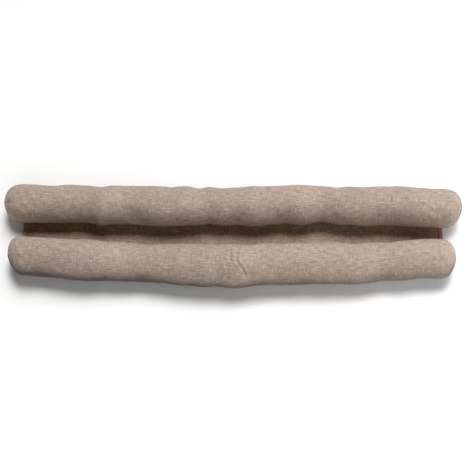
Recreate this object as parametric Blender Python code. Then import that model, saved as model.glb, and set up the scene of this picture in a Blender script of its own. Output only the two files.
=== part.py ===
"""Twin draught excluder: two stuffed cloth rolls, one for each side of a door, joined by the
flat hemmed cloth strip that lies under the door.

Metres, +Z up, floor at z = 0. The rolls lie along X, the back roll on the +Y side. The origin
is on the floor, in the middle of the object's box.
"""

import math
from collections import namedtuple

import bmesh
import bpy
import numpy as np

MM = 0.001

# The joining strip: a single cloth, turned over twice at both ends
STRIP_LENGTH = 800 * MM
STRIP_THICK = 1.6 * MM
HEM_WIDTH = 9 * MM
HEM_THICK = 3.0 * MM
HEM_STEP = 0.6 * MM

# How a roll settles under its own weight
WIDER = 1.015
LOWER = 0.985
SETTLE = 1.0 * MM

# A roll's ends: a round cloth disc sewn into the tube, which narrows a little towards the seam,
# and the seam itself, which draws the cloth in
SEAM_SHARE = 0.93
SEAM_PINCH = 0.035
SHOULDER = 16 * MM
DISC_ROUNDNESS = 0.82
LEAN_REACH = 45 * MM

# The filling's soft lumps, and the folds pressed into the front roll
LUMP = 0.8 * MM
LUMP_WAVES = (150 * MM, 92 * MM, 64 * MM)
FOLD_HALF_WIDTH = 3.6 * MM

# Up to this share of the way round from the underside to the top the cloth is pressed smooth,
# and from the second share on its lumps are full
PRESSED = 0.33
FREE = 0.67

# Touching pieces keep this gap
GAP = 0.35 * MM

# Edges that turn more than this stay sharp, such as the strip's and the seams'
SHARP_ANGLE = math.radians(38)

# How finely the shapes are divided
SIDES = 32
STATION_STEP = 12.5 * MM
FOLD_STEP = 3.2 * MM
DISC_RINGS = (0.28, 0.52, 0.72, 0.87, 0.97)
SHOULDER_RINGS = (0.1, 0.25, 0.5, 0.75)

# A section of a roll, in millimetres: its place along X, its thickness, and how far its middle
# sways towards +Y from the roll's own mean line
Section = namedtuple("Section", "along across sway")

# An end of a roll: where the disc's seam is, how far the disc swells past it, both in
# millimetres, and how far the disc leans, in degrees, with its +Y side further out
End = namedtuple("End", "seam swell lean")

# A point on a fold line: its climb in degrees round the roll from the front (0) over the top
# (90), its place along X and the fold's depth there, both in millimetres
FoldPoint = namedtuple("FoldPoint", "climb along depth")

Roll = namedtuple("Roll", "name middle phase sections left right folds")

BACK_ROLL = Roll(
    name="roll_back",
    middle=67.1 * MM,
    phase=0.6,
    sections=(
        Section(-399, 73.2, 1.0),
        Section(-329, 72.2, 1.0),
        Section(-275, 71.3, 1.0),
        Section(-249, 75.6, -3.0),
        Section(-234, 75.6, -1.0),
        Section(-200, 73.2, -1.0),
        Section(-158, 76.6, -2.5),
        Section(-120, 76.0, -3.0),
        Section(-63, 70.1, -2.0),
        Section(-46, 70.4, 0.5),
        Section(-23, 71.4, -2.0),
        Section(8, 72.2, -1.0),
        Section(36, 76.6, -1.0),
        Section(97, 72.2, 4.0),
        Section(125, 75.6, 2.5),
        Section(169, 67.8, 6.0),
        Section(203, 69.6, 2.0),
        Section(224, 73.2, 2.0),
        Section(243, 73.7, -0.5),
        Section(289, 75.0, 2.0),
        Section(344, 75.8, -1.0),
        Section(376, 73.4, -2.0),
        Section(412, 74.6, -3.0),
    ),
    left=End(seam=-417, swell=18, lean=4),
    right=End(seam=416, swell=19, lean=5),
    folds=(
        (
            FoldPoint(68, 45, 0.0),
            FoldPoint(80, 45, 0.8),
            FoldPoint(98, 48, 0.8),
            FoldPoint(112, 49, 0.0),
        ),
        (
            FoldPoint(22, 81, 0.0),
            FoldPoint(36, 79, 1.2),
            FoldPoint(52, 77, 0.9),
            FoldPoint(66, 75, 0.0),
        ),
        (
            FoldPoint(22, -8, 0.0),
            FoldPoint(40, -8, 0.8),
            FoldPoint(58, -7, 0.7),
            FoldPoint(76, -6, 0.0),
        ),
    ),
)

FRONT_ROLL = Roll(
    name="roll_front",
    middle=-56.5 * MM,
    phase=2.9,
    sections=(
        Section(-387, 73.2, 10.0),
        Section(-341, 74.7, 7.0),
        Section(-285, 78.0, 2.0),
        Section(-225, 74.7, -1.5),
        Section(-155, 71.6, -4.0),
        Section(-127, 73.2, -4.5),
        Section(-101, 76.8, -6.4),
        Section(-73, 78.6, -7.5),
        Section(-56, 80.6, -8.6),
        Section(-27, 79.8, -7.6),
        Section(0, 82.4, -10.0),
        Section(54, 77.6, -5.0),
        Section(106, 77.8, -3.5),
        Section(166, 79.0, -1.0),
        Section(238, 76.0, -1.0),
        Section(283, 72.0, 4.5),
        Section(317, 74.2, 6.5),
        Section(358, 72.8, 11.0),
        Section(387, 73.4, 10.5),
    ),
    left=End(seam=-405, swell=15, lean=7),
    right=End(seam=402, swell=15, lean=4),
    folds=(
        (
            FoldPoint(28, 26, 0.0),
            FoldPoint(45, 21, 1.7),
            FoldPoint(66, 15, 2.0),
            FoldPoint(76, 11.5, 1.4),
            FoldPoint(100, 12, 1.4),
            FoldPoint(120, 12.5, 0.8),
            FoldPoint(138, 13, 0.0),
        ),
        (
            FoldPoint(74, -3, 0.0),
            FoldPoint(95, -3, 1.0),
            FoldPoint(118, -2.5, 1.0),
            FoldPoint(138, -2, 0.0),
        ),
    ),
)

# A node's colour and roughness
Cloth = namedtuple("Cloth", "name colour roughness")
ROLL_CLOTH = Cloth("roll_cloth", (0.41, 0.33, 0.27, 1.0), 0.92)
STRIP_CLOTH = Cloth("strip_cloth", (0.36, 0.28, 0.23, 1.0), 0.94)


def smooth_column(places, rows, column):
    """One column of a table at the given places: a cubic between each two rows, with the slope
    at a row taken from its neighbours, and the end rows' values past the ends."""
    knots = np.array([row.along for row in rows]) * MM
    values = np.array([getattr(row, column) for row in rows]) * MM
    slopes = np.gradient(values, knots)
    low = np.clip(np.searchsorted(knots, places) - 1, 0, len(knots) - 2)
    span = knots[low + 1] - knots[low]
    t = np.clip((places - knots[low]) / span, 0.0, 1.0)
    level = (1 + 2 * t) * (1 - t) ** 2 * values[low] + t * t * (3 - 2 * t) * values[low + 1]
    lean_in = t * (1 - t) ** 2 * slopes[low] - t * t * (1 - t) * slopes[low + 1]
    return level + span * lean_in


def section_at(roll, places):
    """A roll's sections at the given places: middle line, half width, half height and the
    height of the middle, so low that the underside is pressed flat on the floor."""
    half = smooth_column(places, roll.sections, "across") / 2
    middle = roll.middle + smooth_column(places, roll.sections, "sway")
    half_height = half * LOWER
    return middle, half * WIDER, half_height, half_height - SETTLE


def lumps(places, turn, phase):
    """Soft lumps of the filling: the mean of three slow waves along and round the roll, which
    fade out towards the floor, where the cloth is pressed smooth."""
    long_wave, middle_wave, short_wave = (2 * math.pi * places / wave for wave in LUMP_WAVES)
    waves = np.sin(long_wave + turn + phase)
    waves = waves + np.sin(middle_wave - 2 * turn + 2 * phase)
    waves = waves + np.sin(short_wave + 3 * turn + 3 * phase)
    facing_up = (1 - np.cos(turn)) / 2
    free = np.clip((facing_up - PRESSED) / (FREE - PRESSED), 0.0, 1.0)
    return LUMP * free * waves / 3


def fold_depth(places, turn, fold):
    """Depth of one fold: a soft trough beside a line that runs round the roll."""
    climb = (-90.0 - np.degrees(turn)) % 360.0
    climbs = [point.climb for point in fold]
    line = np.interp(climb, climbs, [point.along * MM for point in fold])
    depth = np.interp(climb, climbs, [point.depth * MM for point in fold])
    return depth * np.exp(-(((places - line) / FOLD_HALF_WIDTH) ** 2))


def end_rings(end, outward):
    """Rings of a roll's end, from the tip inwards: places along X and share of full size.
    The disc is a cap whose rings lie on an arc, and the tube's shoulder widens from the seam
    as a parabola."""
    seam = end.seam * MM
    swell = end.swell * MM
    rings = []
    edge = 1 - math.sqrt(1 - DISC_ROUNDNESS**2)
    for q in DISC_RINGS:
        drop = (1 - math.sqrt(1 - (q * DISC_ROUNDNESS) ** 2)) / edge
        rings.append((seam + outward * swell * (1 - drop), SEAM_SHARE * q))
    rings.append((seam, SEAM_SHARE - SEAM_PINCH))
    for t in SHOULDER_RINGS:
        share = 1 - (1 - SEAM_SHARE) * (1 - t) ** 2
        rings.append((seam - outward * SHOULDER * t, share))
    return rings


def stations(roll):
    """Places of the rings between the two shoulders: even steps, finer beside the folds."""
    count = round(STRIP_LENGTH / STATION_STEP)
    places = set(np.linspace(-STRIP_LENGTH / 2, STRIP_LENGTH / 2, count + 1))
    for fold in roll.folds:
        first = min(point.along for point in fold) * MM - 2 * FOLD_HALF_WIDTH
        last = max(point.along for point in fold) * MM + 2 * FOLD_HALF_WIDTH
        places |= set(np.arange(first, last, FOLD_STEP))
    low = (roll.left.seam * MM) + SHOULDER
    high = (roll.right.seam * MM) - SHOULDER
    kept = []
    for place in sorted(places):
        if low <= place <= high and (not kept or place - kept[-1] > FOLD_STEP / 2):
            kept.append(float(place))
    return kept


def roll_rings(roll):
    """All rings of a roll as an array of points: ring, side, xyz."""
    left = end_rings(roll.left, -1)
    right = end_rings(roll.right, 1)
    rings = left + [(place, 1.0) for place in stations(roll)] + right[::-1]
    places = np.array([ring[0] for ring in rings])[:, None]
    share = np.array([ring[1] for ring in rings])[:, None]
    turn = (np.arange(SIDES) * 2 * math.pi / SIDES)[None, :]
    middle, half_width, half_height, height = section_at(roll, places)
    relief = lumps(places, turn, roll.phase)
    for fold in roll.folds:
        relief = relief - fold_depth(places, turn, fold)
    across = (half_width + relief) * share * np.sin(turn)
    y = middle + across
    z = np.maximum(height - (half_height + relief) * share * np.cos(turn), 0.0)
    near_left = np.clip(1 + (roll.left.seam * MM - places) / LEAN_REACH, 0.0, 1.0)
    near_right = np.clip(1 + (places - roll.right.seam * MM) / LEAN_REACH, 0.0, 1.0)
    lean = near_right * math.tan(math.radians(roll.right.lean))
    lean = lean - near_left * math.tan(math.radians(roll.left.lean))
    x = places + lean * across
    return np.stack(np.broadcast_arrays(x, y, z), axis=-1)


def roll_tips(roll):
    """The middle points of a roll's two end discs."""
    tips = []
    for end, outward in ((roll.left, -1), (roll.right, 1)):
        place = np.array([(end.seam + outward * end.swell) * MM])
        middle, _, _, height = section_at(roll, place)
        tips.append((float(place[0]), float(middle[0]), float(height[0])))
    return tips


def make_roll(roll, cloth):
    """A stuffed roll as one closed solid: rings of quads, closed by a fan at each tip."""
    rings = roll_rings(roll)
    mesh = bmesh.new()
    loops = [[mesh.verts.new(point) for point in ring] for ring in rings]
    for here, there in zip(loops, loops[1:]):
        for side in range(SIDES):
            after = (side + 1) % SIDES
            mesh.faces.new((here[side], there[side], there[after], here[after]))
    for loop, tip in zip((loops[0], loops[-1]), roll_tips(roll)):
        middle = mesh.verts.new(tip)
        for side in range(SIDES):
            mesh.faces.new((middle, loop[side], loop[(side + 1) % SIDES]))
    return finish_object(mesh, roll.name, cloth)


def wedge_edge(roll, places, thick):
    """How far from a roll's middle line its underside is just above a cloth of this thickness
    that lies on the floor: where the strip is sewn on."""
    _, half_width, half_height, height = section_at(roll, places)
    rise = (height - thick - GAP) / half_height
    return half_width * np.sqrt(1 - rise**2)


def make_strip(cloth):
    """The joining strip as one flat solid between the undersides of the two rolls, thicker at
    both ends where the cloth is turned over into a hem."""
    half = STRIP_LENGTH / 2
    hem = half - HEM_WIDTH
    inner = hem - HEM_STEP
    count = round(STRIP_LENGTH / STATION_STEP)
    plain = [place for place in np.linspace(-half, half, count + 1) if abs(place) < inner]
    places = np.array([-half, -hem, -inner] + plain + [inner, hem, half])
    thick = np.where(np.abs(places) > inner + HEM_STEP / 2, HEM_THICK, STRIP_THICK)
    back = section_at(BACK_ROLL, places)[0] - wedge_edge(BACK_ROLL, places, thick)
    front = section_at(FRONT_ROLL, places)[0] + wedge_edge(FRONT_ROLL, places, thick)
    mesh = bmesh.new()
    loops = []
    for place, y_back, y_front, top in zip(places, back, front, thick):
        corners = ((y_front, 0.0), (y_back, 0.0), (y_back, top), (y_front, top))
        loops.append([mesh.verts.new((place, y, z)) for y, z in corners])
    for here, there in zip(loops, loops[1:]):
        for side in range(4):
            after = (side + 1) % 4
            mesh.faces.new((here[side], here[after], there[after], there[side]))
    mesh.faces.new(loops[0])
    mesh.faces.new(loops[-1])
    return finish_object(mesh, "door_strip", cloth)


def finish_object(mesh, name, cloth):
    """Turns a bmesh into a named object with its faces outwards, its cloth and smooth shading."""
    bmesh.ops.recalc_face_normals(mesh, faces=mesh.faces)
    data = bpy.data.meshes.new(name)
    mesh.to_mesh(data)
    mesh.free()
    data.shade_smooth()
    data.set_sharp_from_angle(angle=SHARP_ANGLE)
    data.materials.append(cloth_material(cloth))
    thing = bpy.data.objects.new(name, data)
    bpy.context.collection.objects.link(thing)
    return thing


def cloth_material(cloth):
    """A plain matt cloth in its own colour."""
    material = bpy.data.materials.get(cloth.name) or bpy.data.materials.new(cloth.name)
    material.use_nodes = True
    shader = material.node_tree.nodes["Principled BSDF"]
    shader.inputs["Base Color"].default_value = cloth.colour
    shader.inputs["Roughness"].default_value = cloth.roughness
    shader.inputs["Metallic"].default_value = 0.0
    return material


for old in list(bpy.data.objects):
    bpy.data.objects.remove(old, do_unlink=True)

make_roll(BACK_ROLL, ROLL_CLOTH)
make_roll(FRONT_ROLL, ROLL_CLOTH)
make_strip(STRIP_CLOTH)
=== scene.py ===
"""Twin draught excluder, dressed in cloth: two stuffed rolls of heathered beige-brown weave, and
the hemmed strip of the same cloth that joins them and lies under the door.

Metres, +Z up, floor at z = 0. The rolls lie along X, the back roll on the +Y side.
"""

import math
from collections import namedtuple

import bpy
import numpy as np
from mathutils import Matrix, Vector


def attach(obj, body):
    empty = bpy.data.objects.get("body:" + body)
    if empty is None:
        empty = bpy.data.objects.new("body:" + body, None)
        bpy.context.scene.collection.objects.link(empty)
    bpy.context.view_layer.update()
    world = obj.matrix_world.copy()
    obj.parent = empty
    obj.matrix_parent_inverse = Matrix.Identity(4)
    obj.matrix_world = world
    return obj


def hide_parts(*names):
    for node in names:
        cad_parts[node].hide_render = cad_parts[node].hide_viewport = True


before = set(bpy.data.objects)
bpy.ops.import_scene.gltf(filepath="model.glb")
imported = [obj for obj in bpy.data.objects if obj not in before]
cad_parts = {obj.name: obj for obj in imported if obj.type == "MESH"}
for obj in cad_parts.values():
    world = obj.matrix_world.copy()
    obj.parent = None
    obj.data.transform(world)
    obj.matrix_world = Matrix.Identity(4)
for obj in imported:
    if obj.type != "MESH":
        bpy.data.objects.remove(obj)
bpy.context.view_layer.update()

# Camera. The photograph looks at the rolls from in front and well above, from so far away that
# they run nearly straight across the picture, and it is held a trace out of level.
VIEW_RISE = math.radians(60)
VIEW_TILT = math.radians(0.45)
VIEW_DISTANCE = 3.2
VIEW_AIM = (0.0038, 0.0172, 0.0099)
VIEW_LENS = 129

lens = bpy.data.cameras.new("camera")
lens.lens = VIEW_LENS
lens.sensor_width = 36
camera = bpy.data.objects.new("camera", lens)
bpy.context.collection.objects.link(camera)
stand_off = (
    VIEW_AIM[0],
    VIEW_AIM[1] - VIEW_DISTANCE * math.cos(VIEW_RISE),
    VIEW_AIM[2] + VIEW_DISTANCE * math.sin(VIEW_RISE),
)
looking_down = Matrix.Rotation(math.pi / 2 - VIEW_RISE, 4, "X")
camera.matrix_world = Matrix.Translation(stand_off) @ looking_down @ Matrix.Rotation(VIEW_TILT, 4, "Z")
bpy.context.scene.camera = camera

# Floor and light. A plain white ground, and soft light as in a photographer's tent: most of it from
# above and behind, which shades the strip, some from the front, three lamps past the right end,
# and a pale horizon all round.
FLOOR_HALF = 9.0
FLOOR_DROP = 0.0003
LAMP_SIZE = 0.6
LAMP_AIM = (0.3, 0.0, 0.0)

# The sky fades from the horizon's glow to its own between two heights of the view, out of 1.
HORIZON_TO = 0.08
SKY_FROM = 0.2
HORIZON_GLOW = 0.9
SKY_GLOW = 0.03

DISPLAY_GAMMA = 0.9
BLACK_LEVEL = 0.02

floor_mesh = bpy.data.meshes.new("floor")
floor_mesh.from_pydata(
    [(-FLOOR_HALF, -FLOOR_HALF, -FLOOR_DROP), (FLOOR_HALF, -FLOOR_HALF, -FLOOR_DROP),
     (FLOOR_HALF, FLOOR_HALF, -FLOOR_DROP), (-FLOOR_HALF, FLOOR_HALF, -FLOOR_DROP)],
    [],
    [(0, 1, 2, 3)],
)
floor = bpy.data.objects.new("floor", floor_mesh)
bpy.context.collection.objects.link(floor)
floor_paint = bpy.data.materials.new("white_floor")
floor_paint.use_nodes = True
floor_shader = floor_paint.node_tree.nodes["Principled BSDF"]
floor_shader.inputs["Base Color"].default_value = (0.82, 0.82, 0.815, 1)
floor_shader.inputs["Roughness"].default_value = 0.9
floor_shader.inputs["Specular IOR Level"].default_value = 0.1
floor_mesh.materials.append(floor_paint)


def soft_light(name, strength, spread, lean_back, lean_right):
    """Even soft light from far away: its spread and the two leans of its source from straight
    above, back and to the right, are in degrees."""
    light = bpy.data.lights.new(name, "SUN")
    light.energy = strength
    light.angle = math.radians(spread)
    lamp = bpy.data.objects.new(name, light)
    lamp.rotation_euler = (math.radians(-lean_back), math.radians(lean_right), 0)
    bpy.context.collection.objects.link(lamp)


soft_light("top_light", 2.13, 26, 20, 4)
soft_light("back_light", 1.1, 36, 38, 4)
soft_light("front_light", 0.84, 50, -55, 4)


def end_lamp(name, power, place):
    """A round lamp of this power in watts, turned towards the right half of the rolls."""
    light = bpy.data.lights.new(name, "AREA")
    light.shape = "DISK"
    light.size = LAMP_SIZE
    light.energy = power
    lamp = bpy.data.objects.new(name, light)
    lamp.location = place
    towards_rolls = Vector(LAMP_AIM) - Vector(place)
    lamp.rotation_euler = towards_rolls.to_track_quat("-Z", "Y").to_euler()
    bpy.context.collection.objects.link(lamp)


end_lamp("back_end_light", 4.8, (1.0, 0.55, 1.1))
end_lamp("front_end_light", 2.4, (1.1, -0.5, 0.9))
end_lamp("front_side_light", 2.8, (0.8, -0.9, 0.7))

sky = bpy.data.worlds.new("sky")
sky.use_nodes = True
sky_nodes = sky.node_tree.nodes
sky_place = sky_nodes.new("ShaderNodeTexCoord")
sky_parts = sky_nodes.new("ShaderNodeSeparateXYZ")
sky_fade = sky_nodes.new("ShaderNodeMapRange")
sky_fade.inputs["From Min"].default_value = HORIZON_TO
sky_fade.inputs["From Max"].default_value = SKY_FROM
sky_fade.inputs["To Min"].default_value = HORIZON_GLOW
sky_fade.inputs["To Max"].default_value = SKY_GLOW
sky.node_tree.links.new(sky_place.outputs["Generated"], sky_parts.inputs["Vector"])
sky.node_tree.links.new(sky_parts.outputs["Z"], sky_fade.inputs["Value"])
sky.node_tree.links.new(sky_fade.outputs["Result"], sky_nodes["Background"].inputs["Strength"])
sky_nodes["Background"].inputs["Color"].default_value = (1.0, 1.0, 1.0, 1)
bpy.context.scene.world = sky
display = bpy.context.scene.view_settings
display.view_transform = "Standard"
display.gamma = DISPLAY_GAMMA
display.use_curve_mapping = True
display.curve_mapping.black_level = (BLACK_LEVEL, BLACK_LEVEL, BLACK_LEVEL)

# Back roll. A tube of heavy woven cloth with a round disc of the same cloth sewn into each end,
# stuffed with fibre. It sags flat on the floor, narrows where the filling is thin, and has small
# gathers round the end seams.
MM = 0.001

# Sections of a roll in millimetres: place along X, thickness, and sway of its middle towards +Y.
Section = namedtuple("Section", "along across sway")
# An end: where the disc's seam is, how far the disc swells past it, its lean in degrees, and the
# climb and depth of each pucker that its seam draws into the disc.
End = namedtuple("End", "seam swell lean puckers")
# A fold line's points: climb in degrees from the front (0) over the top (90), place, and depth.
FoldPoint = namedtuple("FoldPoint", "climb along depth")
# A fold: its points, half its width, and the height of the ridge pushed up beside it.
Fold = namedtuple("Fold", "points width ridge")
# A roll: its piece, the node that it replaces, its middle line's place, and its lumps' phase.
Roll = namedtuple("Roll", "name node middle phase sections left right folds")

BACK_ROLL = Roll(
    name="back_roll",
    node="roll_back",
    middle=67.1 * MM,
    phase=0.6,
    sections=(
        Section(-399, 73.2, 1.0), Section(-329, 72.2, 1.0), Section(-275, 71.3, 1.0),
        Section(-249, 75.6, -3.0), Section(-234, 75.6, -1.0), Section(-200, 73.2, -1.0),
        Section(-158, 76.6, -2.5), Section(-120, 75.6, -3.8), Section(-90, 75.4, -1.8),
        Section(-63, 70.1, -2.0), Section(-46, 70.4, 0.5), Section(-23, 71.4, -2.0),
        Section(8, 72.2, -1.0), Section(34, 77.0, -1.8), Section(58, 74.2, -0.6),
        Section(97, 72.6, 3.2), Section(125, 75.6, 1.4), Section(169, 68.2, 6.0),
        Section(200, 72.0, 2.0), Section(224, 73.6, 1.6), Section(243, 73.7, -0.5),
        Section(289, 75.0, 2.0), Section(344, 75.8, -1.0), Section(376, 73.4, -2.0),
        Section(412, 74.6, -3.0),
    ),
    left=End(seam=-417, swell=18, lean=4, puckers=((62, 1.6), (20, 0.8), (112, 0.8))),
    right=End(seam=416, swell=19, lean=5, puckers=((8, 1.0), (47, 0.8), (96, 0.6))),
    folds=(
        Fold((FoldPoint(68, 45, 0.0), FoldPoint(80, 45, 0.8), FoldPoint(98, 48, 0.8),
              FoldPoint(112, 49, 0.0)), 3.0, 0.2),
        Fold((FoldPoint(22, 81, 0.0), FoldPoint(36, 79, 0.9), FoldPoint(52, 77, 0.7),
              FoldPoint(66, 75, 0.0)), 4.0, 0.2),
        Fold((FoldPoint(2, 186, 0.0), FoldPoint(14, 190, 2.0), FoldPoint(26, 195, 1.6),
              FoldPoint(42, 201, 0.0)), 11.0, 0.1),
        Fold((FoldPoint(22, -8, 0.0), FoldPoint(40, -8, 0.8), FoldPoint(58, -7, 0.7),
              FoldPoint(76, -6, 0.0)), 3.2, 0.2),
    ),
)

# How a roll settles: it spreads a little, sinks, and is pressed flat where it meets the floor.
WIDER = 1.015
LOWER = 0.985
SETTLE = 1.0 * MM

# The sewn ends: the tube narrows towards the seam, which draws the cloth in.
DISC_REACH = 35 * MM
DISC_ROUNDNESS = 0.82
SEAM_SHARE = 0.93
SEAM_PINCH = 0.04
SEAM_HALF_WIDTH = 1.5 * MM
SHOULDER = 16 * MM
LEAN_REACH = 45 * MM

# The filling's soft lumps, and the gathers round the end seams.
LUMP = 0.8 * MM
LUMP_WAVES = (150 * MM, 92 * MM, 64 * MM)
GATHER = 0.35 * MM
GATHER_REACH = 9 * MM
GATHER_COUNTS = (11, 17, 26)
PUCKER_SPREAD = 6
PUCKER_AT = 8 * MM
PUCKER_REACH = 7 * MM

# How far from a fold's line its ridges are, in half widths of the fold.
RIDGE_AT = 2.2

# Round the underside the cloth is pressed smooth up to the first share of the way up, and free
# from the second.
PRESSED = 0.33
FREE = 0.67

# The simulation that settles the cover on its filling: how far inside it starts, how much larger
# than that start its cloth is cut, on the tube and at the end seams, and how far it may move.
SLACK = 0.6 * MM
EASE = 0.012
SEAM_EASE = 0.03
EASE_REACH = 9 * MM
MOST_MOVE = 1.2 * MM
FILLING_PUSH = 4.0
SIM_FRAMES = 20
SIM_SIDES = 72
SIM_CELL = 5 * MM
SIM_FINE_CELL = 2.4 * MM

# Where the simulated cloth is held: the underside up to the first share of the way up, letting go
# until the second; beside the end seams; and in the middle of the discs. In steps, because a
# vertex group takes one weight for many points.
HELD = 0.12
LOOSE = 0.35
SEAM_HOLD = 1.5 * MM
MIDDLE_HOLD = DISC_REACH / 1.3
HOLD_STEPS = 20

# The finished mesh: its cells round the roll, along it, and along it beside seams and folds.
SIDES = 128
CELL = 2.6 * MM
FINE_CELL = 0.8 * MM
FINE_REACH = 7 * MM
COUNTING_POINTS = 4000


def smooth_curve(places, knots, values):
    """A curve through the values at the knots: a cubic between each two, whose slope at a knot
    comes from its neighbours, and level past both ends."""
    slopes = np.gradient(values, knots, axis=0)
    low = np.clip(np.searchsorted(knots, places) - 1, 0, len(knots) - 2)
    span = knots[low + 1] - knots[low]
    t = np.clip((places - knots[low]) / span, 0.0, 1.0)
    if values.ndim > 1:
        t, span = (a.reshape((-1,) + (1,) * (values.ndim - 1)) for a in (t, span))
    level = (1 + 2 * t) * (1 - t) ** 2 * values[low] + t * t * (3 - 2 * t) * values[low + 1]
    lean_in = t * (1 - t) ** 2 * slopes[low] - t * t * (1 - t) * slopes[low + 1]
    return level + span * lean_in


def section_at(roll, places):
    """The middle line, half width, half height and middle height of a roll at places along X."""
    knots = np.array([row.along for row in roll.sections]) * MM
    across = smooth_curve(places, knots, np.array([row.across for row in roll.sections]) * MM)
    sway = smooth_curve(places, knots, np.array([row.sway for row in roll.sections]) * MM)
    half_height = across / 2 * LOWER
    return roll.middle + sway, across / 2 * WIDER, half_height, half_height - SETTLE


def shares_up(turn, held=PRESSED, free=FREE):
    """How free the cloth is at a turn from straight down: 0 where the floor presses, 1 above."""
    facing_up = (1 - np.cos(turn)) / 2
    return np.clip((facing_up - held) / (free - held), 0.0, 1.0)


def lumps(places, turn, phase):
    """The filling's lumps: the mean of three slow waves along and round the roll."""
    long_wave, middle_wave, short_wave = (2 * math.pi * places / wave for wave in LUMP_WAVES)
    waves = np.sin(long_wave + turn + phase)
    waves = waves + np.sin(middle_wave - 2 * turn + 2 * phase)
    waves = waves + np.sin(short_wave + 3 * turn + 3 * phase)
    return LUMP * shares_up(turn) * waves / 3


def climb_of(turn):
    """The climb in degrees, from the front over the top, that belongs to a turn."""
    return -np.degrees(turn) % 360.0 - 90.0


def fold_relief(places, turn, fold):
    """A fold: a soft trough along its line, less a low ridge on each side of it."""
    climb = climb_of(turn)
    climbs = [point.climb for point in fold.points]
    line = np.interp(climb, climbs, [point.along * MM for point in fold.points])
    depth = np.interp(climb, climbs, [point.depth * MM for point in fold.points])
    off = (places - line) / (fold.width * MM)
    return depth * (fold.ridge * np.exp(-((np.abs(off) - RIDGE_AT) ** 2)) - np.exp(-(off**2)))


def gathers(from_seam, turn, phase):
    """The small gathers round an end seam: three waves round the roll that fade with the
    distance from the seam."""
    waves = sum(np.sin(count * turn + 5 * phase + count) for count in GATHER_COUNTS)
    return GATHER * shares_up(turn) * waves / 2 * np.exp(-np.abs(from_seam) / GATHER_REACH)


def puckered(onto_disc, turn, end):
    """How far an end's puckers draw the cloth in: a groove at each one's climb, deepest a little
    way from the seam onto the disc."""
    grooves = sum(
        depth * np.exp(-(((climb_of(turn) - climb) / PUCKER_SPREAD) ** 2)) for climb, depth in end.puckers
    )
    return MM * grooves * np.exp(-(((onto_disc - PUCKER_AT) / PUCKER_REACH) ** 2))


def roll_surface(roll, run, turn, slack=0.0, moved=0.0):
    """A roll's surface. The first parameter runs from the middle of the left disc outwards to its
    seam, along the tube, and inwards to the middle of the right disc; the second turns round the
    roll from straight down towards +Y. A ring is an ellipse whose size is a share of the roll's
    section there; lumps, folds and gathers stand on it, less the slack, and are then moved."""
    run = run[:, None]
    turn = turn[None, :]
    left_seam, right_seam = roll.left.seam * MM, roll.right.seam * MM
    left_out = np.clip(1 + (run - left_seam) / DISC_REACH, 0.0, 1.0)
    right_out = np.clip(1 + (right_seam - run) / DISC_REACH, 0.0, 1.0)
    edge = 1 - math.sqrt(1 - DISC_ROUNDNESS**2)
    left_rise = 1 - (1 - np.sqrt(1 - (left_out * DISC_ROUNDNESS) ** 2)) / edge
    right_rise = 1 - (1 - np.sqrt(1 - (right_out * DISC_ROUNDNESS) ** 2)) / edge
    place = np.clip(run, left_seam, right_seam)
    place = place - roll.left.swell * MM * left_rise + roll.right.swell * MM * right_rise
    inwards = np.clip(np.minimum(run - left_seam, right_seam - run) / SHOULDER, 0.0, 1.0)
    share = (1 - (1 - SEAM_SHARE) * (1 - inwards) ** 2) * np.minimum(left_out, right_out)
    for seam in (left_seam, right_seam):
        share = share - SEAM_PINCH * np.exp(-(((run - seam) / SEAM_HALF_WIDTH) ** 2))

    middle, half_width, half_height, height = section_at(roll, place.ravel())
    middle, half_width, half_height, height = (
        values[:, None] for values in (middle, half_width, half_height, height)
    )
    relief = lumps(place, turn, roll.phase) - slack * shares_up(turn, HELD, LOOSE)
    for fold in roll.folds:
        relief = relief + fold_relief(place, turn, fold)
    relief = relief + gathers(left_seam - run, turn, roll.phase)
    relief = relief + gathers(run - right_seam, turn, roll.phase + 2)
    drawn_left = puckered(left_seam - run, turn, roll.left)
    drawn_right = puckered(run - right_seam, turn, roll.right)
    relief = relief - drawn_left - drawn_right
    across = (half_width + relief) * share * np.sin(turn)
    near_left = np.clip(1 + (left_seam - place) / LEAN_REACH, 0.0, 1.0)
    near_right = np.clip(1 + (place - right_seam) / LEAN_REACH, 0.0, 1.0)
    lean = near_right * math.tan(math.radians(roll.right.lean))
    lean = lean - near_left * math.tan(math.radians(roll.left.lean))
    x = place + lean * across + drawn_left - drawn_right
    z = height - (half_height + relief) * share * np.cos(turn)
    surface = np.stack(np.broadcast_arrays(x, middle + across, z), axis=-1) + moved
    surface[..., 2] = np.maximum(surface[..., 2], 0.0)
    return surface


def runs_of(roll, cell, fine_cell):
    """Steps of a roll's first parameter: even cells, finer beside its seams and folds, with a
    step on each seam. The steps lie where the summed density of cells passes each whole number."""
    left_seam, right_seam = roll.left.seam * MM, roll.right.seam * MM
    fine_at = [left_seam, right_seam]
    for fold in roll.folds:
        fine_at += [point.along * MM for point in fold.points]
    parts = []
    for first, last in ((left_seam - DISC_REACH, left_seam), (left_seam, right_seam),
                        (right_seam, right_seam + DISC_REACH)):
        fine_run = np.linspace(first, last, COUNTING_POINTS)
        nearness = np.zeros_like(fine_run)
        for at in fine_at:
            nearness = np.maximum(nearness, np.exp(-(((fine_run - at) / FINE_REACH) ** 2)))
        density = 1 / cell + (1 / fine_cell - 1 / cell) * nearness
        steps = np.concatenate([[0.0], np.cumsum((density[1:] + density[:-1]) / 2)])
        steps *= (fine_run[1] - fine_run[0])
        count = max(int(round(steps[-1])), 2)
        parts.append(np.interp(np.linspace(0, steps[-1], count + 1), steps, fine_run))
    return np.concatenate([parts[0], parts[1][1:], parts[2][1:]])


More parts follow.
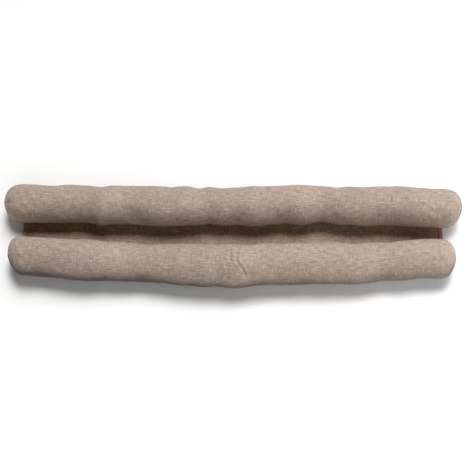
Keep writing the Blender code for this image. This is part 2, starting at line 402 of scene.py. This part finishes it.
def tube_mesh(name, surface, weave=None):
    """A closed mesh from rings of points: quads between the rings, and a fan of triangles at each
    end, whose first and last rings have shrunk to a point. The weave map, if there is one, gives
    each ring's and side's place on the flat cloth, in metres."""
    rings, sides = surface.shape[:2]
    points = np.concatenate([surface[0, :1], surface[1:-1].reshape(-1, 3), surface[-1, :1]])
    ring = np.arange(rings - 3)[:, None]
    side = np.arange(sides)[None, :]
    after = (side + 1) % sides
    quads = 1 + np.stack(
        [ring * sides + side, ring * sides + after, (ring + 1) * sides + after, (ring + 1) * sides + side],
        axis=-1,
    ).reshape(-1, 4)
    side, after = side[0], after[0]
    last = len(points) - 1
    left_fan = np.stack([np.zeros(sides, int), 1 + after, 1 + side], axis=-1)
    right_fan = np.stack([np.full(sides, last), last - sides + side, last - sides + after], axis=-1)

    mesh = bpy.data.meshes.new(name)
    loops = np.concatenate([quads.ravel(), left_fan.ravel(), right_fan.ravel()])
    sizes = np.concatenate([np.full(len(quads), 4), np.full(2 * sides, 3)])
    mesh.vertices.add(len(points))
    mesh.vertices.foreach_set("co", points.ravel())
    mesh.loops.add(len(loops))
    mesh.loops.foreach_set("vertex_index", loops)
    mesh.polygons.add(len(sizes))
    mesh.polygons.foreach_set("loop_start", np.concatenate([[0], np.cumsum(sizes)[:-1]]))
    mesh.polygons.foreach_set("loop_total", sizes)
    mesh.update(calc_edges=True)
    mesh.validate()
    mesh.shade_smooth()
    if weave is None:
        return mesh

    here, there = np.arange(1, rings - 2)[:, None], np.arange(2, rings - 1)[:, None]
    plain = np.arange(sides)[None, :]
    corners = ((here, plain), (here, plain + 1), (there, plain + 1), (there, plain))
    quad_map = np.stack([weave(a, b, here) for a, b in corners], axis=2).reshape(-1, 2)
    first, final = np.zeros(sides, int), np.full(sides, rings - 1)
    fan_maps = []
    for tip, rim, near, far in ((first, first + 1, 1, 0), (final, final - 1, 0, 1)):
        fan = [weave(tip, plain[0], rim), weave(rim, plain[0] + near, rim), weave(rim, plain[0] + far, rim)]
        fan_maps.append(np.stack(fan, axis=1).reshape(-1, 2))
    mesh.uv_layers.new(name="weave")
    mesh.uv_layers["weave"].data.foreach_set("uv", np.concatenate([quad_map, *fan_maps]).ravel())
    return mesh


def settled_cover(roll):
    """How a cloth simulation moves a roll's cover: it starts slack inside the roll's shape, before
    it has any folds, its underside and its end seams are held, and the filling's push blows it
    up. Gives the rings and sides it was worked out at, and how far each point moved, no more
    than MOST_MOVE, then evened out as a heavy cloth does: half its own move and a quarter of
    each neighbour's, along the roll and round it."""
    smooth = roll._replace(folds=())
    run = runs_of(smooth, SIM_CELL, SIM_FINE_CELL)
    turn = np.arange(SIM_SIDES) * 2 * math.pi / SIM_SIDES
    start = roll_surface(smooth, run, turn, SLACK)
    cover = bpy.data.objects.new("cover", tube_mesh("cover", start))
    bpy.context.collection.objects.link(cover)

    seams = np.array([roll.left.seam, roll.right.seam]) * MM
    from_seam = np.abs(run[1:-1, None] - seams).min(axis=1)[:, None]
    from_tip = np.minimum(run[1:-1] - run[0], run[-1] - run[1:-1])[:, None]
    held = np.maximum(np.exp(-((from_seam / SEAM_HOLD) ** 2)), np.exp(-((from_tip / MIDDLE_HOLD) ** 2)))
    held = np.maximum(held, 1 - shares_up(turn, HELD, LOOSE))
    eased = np.exp(-((from_seam / EASE_REACH) ** 2)) + 0 * turn
    for label, weights in (("held", held), ("eased", eased)):
        group = cover.vertex_groups.new(name=label)
        levels = np.round(weights.ravel() * HOLD_STEPS).astype(int)
        for level in range(1, HOLD_STEPS + 1):
            group.add((np.flatnonzero(levels == level) + 1).tolist(), level / HOLD_STEPS, "REPLACE")

    cloth = cover.modifiers.new("cloth", "CLOTH")
    cloth.settings.quality = 5
    cloth.settings.mass = 0.2
    cloth.settings.air_damping = 4
    cloth.settings.bending_stiffness = 0.6
    cloth.settings.use_pressure = True
    cloth.settings.uniform_pressure_force = FILLING_PUSH
    cloth.settings.vertex_group_mass = "held"
    cloth.settings.vertex_group_shrink = "eased"
    cloth.settings.shrink_min = -EASE
    cloth.settings.shrink_max = -SEAM_EASE
    cloth.settings.effector_weights.gravity = 0
    cloth.point_cache.frame_start = 1
    cloth.point_cache.frame_end = SIM_FRAMES
    for step in range(1, SIM_FRAMES + 1):
        bpy.context.scene.frame_set(step)
    blown = cover.evaluated_get(bpy.context.evaluated_depsgraph_get()).data
    points = np.empty(len(blown.vertices) * 3)
    blown.vertices.foreach_get("co", points)
    points = points.reshape(-1, 3)
    bpy.data.objects.remove(cover)
    bpy.context.scene.frame_set(1)

    rings = points[1:-1].reshape(len(run) - 2, SIM_SIDES, 3)
    tips = [np.broadcast_to(tip, (1, SIM_SIDES, 3)) for tip in (points[0], points[-1])]
    moved = np.concatenate([tips[0], rings, tips[1]]) - start
    far = np.linalg.norm(moved, axis=-1, keepdims=True)
    moved = moved * np.minimum(1.0, MOST_MOVE / np.maximum(far, 1e-9))
    moved[1:-1] = (moved[:-2] + 2 * moved[1:-1] + moved[2:]) / 4
    moved = (np.roll(moved, 1, axis=1) + 2 * moved + np.roll(moved, -1, axis=1)) / 4
    return run, turn, moved


def carried_over(field, run, turn):
    """A movement worked out on coarse rings and sides, carried over to finer ones: smoothly along
    the roll, then round it, where it closes on itself."""
    coarse_run, coarse_turn, moved = field
    along = smooth_curve(run, coarse_run, moved)
    whole = np.concatenate([coarse_turn - 2 * math.pi, coarse_turn, coarse_turn + 2 * math.pi])
    rounded = smooth_curve(turn, whole, np.tile(along.transpose(1, 0, 2), (3, 1, 1)))
    return rounded.transpose(1, 0, 2)


def make_roll(roll, cloth):
    """A stuffed roll as one closed piece of cloth, settled by the simulation."""
    run = runs_of(roll, CELL, FINE_CELL)
    turn = np.arange(SIDES) * 2 * math.pi / SIDES
    surface = roll_surface(roll, run, turn)
    surface = roll_surface(roll, run, turn, SLACK, carried_over(settled_cover(roll), run, turn))
    radius = float(np.mean([row.across for row in roll.sections])) / 2 * MM
    left_seam, right_seam = roll.left.seam * MM, roll.right.seam * MM
    disc_share = np.maximum(left_seam - run, run - right_seam) / DISC_REACH

    def weave(ring, side, face_ring):
        """Flat cloth: on the tube, along it and round it; on a disc, across its round cut."""
        angle = side * 2 * math.pi / SIDES
        along, round_it = np.broadcast_arrays(run[ring], radius * angle)
        out = radius * SEAM_SHARE * (1 - np.clip(disc_share[ring], 0.0, 1.0))
        across, up = np.broadcast_arrays(out * np.sin(angle), -out * np.cos(angle))
        middle_of_face = (run[face_ring] + run[np.minimum(face_ring + 1, len(run) - 1)]) / 2
        on_disc = (middle_of_face < left_seam) | (middle_of_face > right_seam)
        on_disc = np.broadcast_to(on_disc, along.shape)
        return np.stack([np.where(on_disc, across + 1.0, along), np.where(on_disc, up, round_it)], axis=-1)

    piece = bpy.data.objects.new(roll.name, tube_mesh(roll.name, surface, weave))
    bpy.context.collection.objects.link(piece)
    piece.data.materials.append(cloth)
    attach(piece, "root")
    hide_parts(roll.node)
    return piece


class Signal:
    """A shader socket that Python can reckon with: sums and products add Math nodes, and node()
    adds any other node."""

    def __init__(self, tree, socket=None):
        self.tree = tree
        self.socket = socket

    def node(self, kind, settings=None, sockets=None, out=0):
        """A new node, with its settings made first, and then the numbers, colours or links of
        its sockets. Stops are a ramp's places and colours."""
        made = self.tree.nodes.new("ShaderNode" + kind)
        for name, setting in (settings or {}).items():
            if name == "stops":
                ramp = made.color_ramp
                for number, (place, colour) in enumerate(setting):
                    stop = ramp.elements[number] if number < 2 else ramp.elements.new(place)
                    stop.position = place
                    stop.color = colour
            else:
                setattr(made, name, setting)
        for name, value in (sockets or {}).items():
            if isinstance(value, Signal):
                self.tree.links.new(value.socket, made.inputs[name])
            else:
                made.inputs[name].default_value = value
        return Signal(self.tree, made.outputs[out])

    def reckon(self, operation, first, second=0.0):
        """A Math node on one or two values."""
        return self.node("Math", {"operation": operation}, {0: first, 1: second})

    def __add__(self, other):
        return self.reckon("ADD", self, other)

    def __sub__(self, other):
        return self.reckon("SUBTRACT", self, other)

    def __rsub__(self, other):
        return self.reckon("SUBTRACT", other, self)

    def __mul__(self, other):
        return self.reckon("MULTIPLY", self, other)

    __radd__ = __add__
    __rmul__ = __mul__


# The cloth: a plain weave of heathered yarn, thick and thin, sand and brown fibres mixed.
YARN = 1.3 * MM
SLUB_LONG = 16 * MM
SLUB_SHORT = 2.6 * MM
MOTTLE = 9 * MM
PATCH = 26 * MM
DRIFT = 110 * MM
WEAVE_RELIEF = 0.5 * MM
WEAVE_SHARE = 0.35

# How strongly each of them shows in the tone. Between patches the streaks swing from those along
# the cloth to those across it.
WEFT_LEAST = 0.27
WARP_MOST = 0.53
PATCH_SWING = 0.37
FLECK_TONE = 0.35
MOTTLE_TONE = 0.17
DRIFT_TONE = 0.2

# A stand-in for shade, not a mark on the real cloth. The photo's front roll is darker along its
# lower rim than this light makes it, so its colour is greyed from the first height down to the
# second, and less towards the right end: its strength in the middle, and what it loses for each
# metre. It was set from the photo's angle only, and shows from behind as a dark left end.
SHADE_GREY = (0.3, 0.305, 0.31, 1)
SHADE_TOP = 58 * MM
SHADE_FULL = 28 * MM
SHADE_MIDDLE = 0.95
SHADE_FADE = 0.9


def heathered_cloth(name, dark, mid, light, roughness, painted_low_shade):
    """A woven cloth's material on the piece's weave map. Its colour runs from dark over mid to
    light with yarns that are lighter and darker in short lengths, both along and across, and its
    height is the weave's over and under with the yarns' thick and thin places. With painted low
    shade, the colour is greyed darker low down, more so towards the left."""
    material = bpy.data.materials.new(name)
    material.use_nodes = True
    tree = material.node_tree
    shader = tree.nodes["Principled BSDF"]
    flat = Signal(tree).node("UVMap", {"uv_map": "weave"})

    def yarns(along, across, offset, detail=2.0):
        """Noise stretched along one way of the weave, from 0 to 1."""
        spread = flat.node("Mapping", {}, {
            "Vector": flat,
            "Location": (offset, offset * 1.7, 0),
            "Scale": (1 / along, 1 / across, 1),
        })
        return flat.node("TexNoise", {"noise_dimensions": "2D"}, {
            "Vector": spread,
            "Scale": 1.0,
            "Detail": detail,
            "Roughness": 0.6,
        })

    weft = yarns(SLUB_LONG, SLUB_SHORT, 3.1) - 0.5
    warp = yarns(SLUB_SHORT, SLUB_LONG * 0.8, 11.7) - 0.5
    fleck = yarns(YARN * 1.6, YARN, 23.9, 1.0) - 0.5
    mottle = yarns(MOTTLE, MOTTLE, 31.3, 1.0) - 0.5
    drift = yarns(DRIFT, DRIFT, 41.3) - 0.5
    patch = flat.node("MapRange", {"interpolation_type": "SMOOTHSTEP"}, {
        "Value": yarns(PATCH, PATCH, 57.7, 1.0), "From Min": 0.38, "From Max": 0.62})
    streaks = weft * (WEFT_LEAST + PATCH_SWING * patch) + warp * (WARP_MOST - PATCH_SWING * patch)
    tone = 0.5 + streaks + fleck * FLECK_TONE + mottle * MOTTLE_TONE + drift * DRIFT_TONE
    colour = flat.node("ValToRGB", {"stops": (
        (0.22, dark), (0.78, light), (0.5, mid))}, {0: tone})
    # Painted shade: low down the colour is greyed darker, more so towards the left end.
    if painted_low_shade:
        along = flat.node("SeparateXYZ", {}, {0: flat.node("TexCoord", out=3)})
        upwards = Signal(tree, along.socket.node.outputs[2])
        shade_low_down = flat.node("MapRange", {"interpolation_type": "SMOOTHSTEP"}, {
            "Value": upwards, "From Min": SHADE_TOP, "From Max": SHADE_FULL})
        colour = flat.node("Mix", {"data_type": "RGBA", "blend_type": "MULTIPLY"}, {
            0: shade_low_down * (SHADE_MIDDLE - SHADE_FADE * along), 6: colour, 7: SHADE_GREY}, out=2)
    tree.links.new(colour.socket, shader.inputs["Base Color"])

    first_way = flat.node("SeparateXYZ", {}, {0: flat})
    second_way = Signal(tree, first_way.socket.node.outputs[1])
    over = flat.reckon("SINE", first_way * (math.pi / YARN))
    under = flat.reckon("SINE", second_way * (math.pi / YARN))
    height = over * under * WEAVE_SHARE + streaks
    bump = flat.node("Bump", {}, {"Strength": 0.7, "Distance": WEAVE_RELIEF, "Height": height})
    tree.links.new(bump.socket, shader.inputs["Normal"])
    shader.inputs["Roughness"].default_value = roughness
    shader.inputs["Specular IOR Level"].default_value = 0.1
    shader.inputs["Sheen Weight"].default_value = 0.15
    shader.inputs["Sheen Roughness"].default_value = 0.6
    return material


SAND = {
    "dark": (0.24, 0.186, 0.157, 1),
    "mid": (0.38, 0.303, 0.256, 1),
    "light": (0.545, 0.457, 0.385, 1),
}
back_cloth = heathered_cloth("back_cloth", roughness=0.92, painted_low_shade=False, **SAND)
make_roll(BACK_ROLL, back_cloth)

# Front roll. The same, but fatter, and bowed towards the viewer in its middle, where the bend has
# pressed a fold across its top. Its lower side is greyed darker as painted shade.
FRONT_ROLL = Roll(
    name="front_roll",
    node="roll_front",
    middle=-56.5 * MM,
    phase=2.9,
    sections=(
        Section(-387, 73.2, 10.0), Section(-341, 74.7, 7.0), Section(-285, 78.0, 2.0),
        Section(-225, 74.7, 0.2), Section(-155, 71.6, -2.2), Section(-127, 73.2, -3.6),
        Section(-101, 76.8, -6.4), Section(-73, 78.6, -7.5), Section(-56, 80.6, -8.6),
        Section(-27, 79.8, -7.6), Section(0, 82.4, -10.0), Section(54, 77.6, -5.0),
        Section(106, 77.8, -3.5), Section(166, 79.0, -1.0), Section(238, 76.0, -1.0),
        Section(283, 72.0, 4.5), Section(317, 74.2, 6.5), Section(358, 72.8, 11.0),
        Section(387, 73.4, 10.5),
    ),
    left=End(seam=-405, swell=15, lean=10, puckers=((30, 0.8), (84, 0.6))),
    right=End(seam=402, swell=15, lean=4, puckers=((17, 2.4), (33, 1.0), (74, 0.8))),
    folds=(
        Fold((FoldPoint(28, 24.5, 0.0), FoldPoint(38, 22, 1.2), FoldPoint(50, 18.8, 1.9),
              FoldPoint(58, 16.2, 2.0), FoldPoint(65, 13, 1.8), FoldPoint(70, 9.5, 1.5),
              FoldPoint(77, 7, 1.7), FoldPoint(95, 7.5, 1.4), FoldPoint(110, 8, 0.9),
              FoldPoint(126, 8.5, 0.0)), 2.3, 0.45),
        Fold((FoldPoint(18, 31, 0.0), FoldPoint(32, 28, 1.4), FoldPoint(48, 25, 1.4),
              FoldPoint(64, 21, 0.0)), 7.0, 0.1),
        Fold((FoldPoint(66, -5, 0.0), FoldPoint(82, -5, 1.6), FoldPoint(112, -5, 1.4),
              FoldPoint(130, -4, 0.0)), 2.6, 0.45),
        Fold((FoldPoint(20, -11, 0.0), FoldPoint(34, -10, 1.0), FoldPoint(52, -9, 0.9),
              FoldPoint(68, -8, 0.0)), 2.6, 0.3),
        Fold((FoldPoint(52, -51, 0.0), FoldPoint(66, -51, 0.9), FoldPoint(92, -50, 0.8),
              FoldPoint(108, -50, 0.0)), 3.0, 0.3),
        Fold((FoldPoint(14, -59, 0.0), FoldPoint(24, -58, 1.0), FoldPoint(36, -57, 0.8),
              FoldPoint(48, -56, 0.0)), 2.8, 0.3),
        Fold((FoldPoint(0, 382, 0.0), FoldPoint(12, 383, 1.5), FoldPoint(22, 385, 1.2),
              FoldPoint(36, 388, 0.0)), 7.0, 0.15),
    ),
)
front_cloth = heathered_cloth("front_cloth", roughness=0.92, painted_low_shade=True, **SAND)
make_roll(FRONT_ROLL, front_cloth)

# Door strip. A single cloth between the undersides of the two rolls, where it is sewn on, with its
# two short ends turned under and stitched as hems.
STRIP_LENGTH = 800 * MM
STRIP_THICK = 1.6 * MM
HEM_WIDTH = 9 * MM
HEM_THICK = 3.0 * MM
HEM_STEP = 0.8 * MM
GAP = 0.35 * MM
STRIP_CELL = 4 * MM
STRIP_COLUMNS = 40
STRIP_SHARP = math.radians(50)
STITCH_FROM_END = 8.0 * MM
GROOVE_DEPTH = 1.0 * MM
GROOVE_HALF_WIDTH = 1.2 * MM

# The stretch at each end that has finer rows, for the hem, and its number of rows.
END_REACH = 12 * MM
END_ROWS = 30

# The strip's slight waves: half their height, how far from its ends they fade, and their lengths
# along it and across it, for each of two slanting waves.
RIPPLE = 0.35 * MM
RIPPLE_FADE = 30 * MM
RIPPLE_ALONG = (23 * MM, 41 * MM)
RIPPLE_ACROSS = (14 * MM, 29 * MM)


def wedge_edge(roll, places, thick):
    """How far from a roll's middle line its underside is just above a cloth of this thickness on
    the floor."""
    _, half_width, half_height, height = section_at(roll, places)
    return half_width * np.sqrt(1 - ((height - thick - GAP) / half_height) ** 2)


def strip_edges(places, thick):
    """The strip's front and back edges: each roll's middle line, less or plus its wedge."""
    front = section_at(FRONT_ROLL, places)[0] + wedge_edge(FRONT_ROLL, places, thick)
    back = section_at(BACK_ROLL, places)[0] - wedge_edge(BACK_ROLL, places, thick)
    return front, back


def strip_thickness(places):
    """The strip's thickness: single cloth, a smooth step up to the hem's two layers, and a
    groove where the stitches draw them together."""
    from_end = STRIP_LENGTH / 2 - np.abs(places)
    step = np.clip((HEM_WIDTH - from_end) / HEM_STEP, 0.0, 1.0)
    step = step * step * (3 - 2 * step)
    groove = GROOVE_DEPTH * np.exp(-(((from_end - STITCH_FROM_END) / GROOVE_HALF_WIDTH) ** 2))
    round_off = 1 - np.clip(1 - from_end / (HEM_THICK / 2), 0.0, 1.0) ** 2
    thick = STRIP_THICK + (HEM_THICK - STRIP_THICK) * step - groove * step
    return thick * (0.5 + 0.5 * np.sqrt(np.clip(round_off, 0.0, 1.0)))


def make_strip(cloth):
    """The strip as a closed sheet: a grid of two parameters, along it and across it between the
    two wedges, for its top and again for its underside, joined round the rim."""
    half = STRIP_LENGTH / 2
    coarse = np.arange(-half + END_REACH, half - END_REACH + STRIP_CELL / 2, STRIP_CELL)
    fine = np.linspace(-half, -half + END_REACH, END_ROWS)[:-1]
    places = np.concatenate([fine, coarse[coarse < half - END_REACH - STRIP_CELL / 2], -fine[::-1]])
    thick = strip_thickness(places)
    front, back = strip_edges(places, thick)
    share = np.linspace(0, 1, STRIP_COLUMNS + 1)[None, :]
    x, y = np.broadcast_arrays(places[:, None], front[:, None] * (1 - share) + back[:, None] * share)
    inside = np.sin(math.pi * share) ** 0.5 * np.clip((half - np.abs(x)) / RIPPLE_FADE, 0.0, 1.0)
    one_slant = np.sin(x / RIPPLE_ALONG[0] + y / RIPPLE_ACROSS[0])
    other_slant = np.sin(x / RIPPLE_ALONG[1] - y / RIPPLE_ACROSS[1] + 1)
    lift = RIPPLE * inside * (1 + one_slant * other_slant)
    top = np.stack([x, y, thick[:, None] + lift], axis=-1)
    under = np.stack([x, y, 0.5 * lift], axis=-1)

    rows, columns = x.shape
    count = rows * columns
    points = np.concatenate([top.reshape(-1, 3), under.reshape(-1, 3)])
    row, column = np.arange(rows - 1)[:, None], np.arange(columns - 1)[None, :]
    near = row * columns + column
    faces_top = np.stack([near, near + columns, near + columns + 1, near + 1], axis=-1).reshape(-1, 4)
    rim = np.concatenate([
        np.arange(columns - 1), np.arange(columns - 1, count - 1, columns),
        np.arange(count - 1, count - columns, -1), np.arange(count - columns, 0, -columns),
    ])
    rim_after = np.roll(rim, -1)
    faces_rim = np.stack([rim, rim_after, rim_after + count, rim + count], axis=-1)
    faces = np.concatenate([faces_top, faces_top[:, ::-1] + count, faces_rim])
    mesh = bpy.data.meshes.new("door_cloth")
    mesh.from_pydata(points.tolist(), [], faces.tolist())
    flat = points[faces.ravel()][:, :2]
    mesh.uv_layers.new(name="weave")
    mesh.uv_layers["weave"].data.foreach_set("uv", flat.ravel())
    mesh.update(calc_edges=True)
    mesh.shade_smooth()
    mesh.set_sharp_from_angle(angle=STRIP_SHARP)
    piece = bpy.data.objects.new("door_cloth", mesh)
    bpy.context.collection.objects.link(piece)
    mesh.materials.append(cloth)
    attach(piece, "root")
    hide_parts("door_strip")
    return piece


# The strip is the rolls' cloth in a warmer, redder tone, which is painted shade: it stands in for the warm
# light bounced onto it between the rolls.
strip_cloth = heathered_cloth(
    "strip_cloth",
    dark=(0.245, 0.171, 0.134, 1), mid=(0.39, 0.287, 0.225, 1), light=(0.54, 0.425, 0.34, 1),
    roughness=0.94, painted_low_shade=False,
)
door_cloth = make_strip(strip_cloth)

# Hem stitches. One row of short dark thread stitches along each hem, sunk into the cloth, which
# hold its turned-under end down.
STITCH = 2.6 * MM
STITCH_PITCH = 3.3 * MM
STITCH_ARCH = 0.35 * MM
STITCH_DIP = 0.1 * MM
STITCH_MARGIN = 2 * MM
STITCH_STEPS = 7
THREAD = 0.34 * MM
THREAD_SIDES = 8
THREAD_TWIST = 900.0


def make_stitches():
    """All hem stitches in one mesh: each a thin capsule, a ring of eight points carried along a
    short arch that dips into the cloth at both ends."""
    along = np.linspace(0, 1, STITCH_STEPS)[None, :, None]
    turn = (np.arange(THREAD_SIDES) * 2 * math.pi / THREAD_SIDES)[None, None, :]
    places, starts = [], []
    for sign in (-1, 1):
        place = np.array([sign * (STRIP_LENGTH / 2 - STITCH_FROM_END)])
        front, back = strip_edges(place, strip_thickness(place))
        row = np.arange(front[0] + STITCH_MARGIN, back[0] - STITCH_MARGIN - STITCH, STITCH_PITCH)
        places += [place[0]] * len(row)
        starts += list(row)
    places, starts = (np.array(values)[:, None, None] for values in (places, starts))
    top = strip_thickness(places)
    thread = THREAD * np.sqrt(np.clip(1 - (2 * along - 1) ** 6, 0.05, 1.0))
    arch = (1 - (2 * along - 1) ** 2) * STITCH_ARCH - STITCH_DIP
    x = places + thread * np.cos(turn)
    y = starts + along * STITCH + 0 * turn
    z = top + arch + thread * np.sin(turn)
    rings = np.stack(np.broadcast_arrays(x, y, z), axis=-1)
    count, steps, sides = rings.shape[:3]
    start = (np.arange(count) * steps * sides)[:, None, None]
    step, side = np.arange(steps - 1)[None, :, None], np.arange(sides)[None, None, :]
    after = (side + 1) % sides
    a, b = start + step * sides + side, start + step * sides + after
    walls = np.stack([a, a + sides, b + sides, b], axis=-1).reshape(-1, 4)
    first = start[:, 0] + np.arange(sides)[None, :]
    caps = first.tolist() + (first + (steps - 1) * sides)[:, ::-1].tolist()
    mesh = bpy.data.meshes.new("hem_stitches")
    mesh.from_pydata(rings.reshape(-1, 3).tolist(), [], walls.tolist() + caps)
    mesh.update(calc_edges=True)
    mesh.shade_smooth()
    piece = bpy.data.objects.new("hem_stitches", mesh)
    bpy.context.collection.objects.link(piece)
    return piece


def thread_material():
    """Dark brown sewing thread, with the twist of its strands in bands across it."""
    material = bpy.data.materials.new("brown_thread")
    material.use_nodes = True
    tree = material.node_tree
    shader = tree.nodes["Principled BSDF"]
    place = Signal(tree).node("TexCoord", {}, {}, out=3)
    twist = place.node("TexWave", {"wave_type": "BANDS", "bands_direction": "DIAGONAL"}, {
        "Vector": place, "Scale": THREAD_TWIST, "Distortion": 1.0})
    colour = place.node("Mix", {"data_type": "RGBA"}, {
        0: twist, 6: (0.035, 0.014, 0.01, 1), 7: (0.08, 0.035, 0.024, 1)}, out=2)
    tree.links.new(colour.socket, shader.inputs["Base Color"])
    shader.inputs["Roughness"].default_value = 0.7
    return material


hem_stitches = make_stitches()
hem_stitches.data.materials.append(thread_material())
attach(hem_stitches, "root")
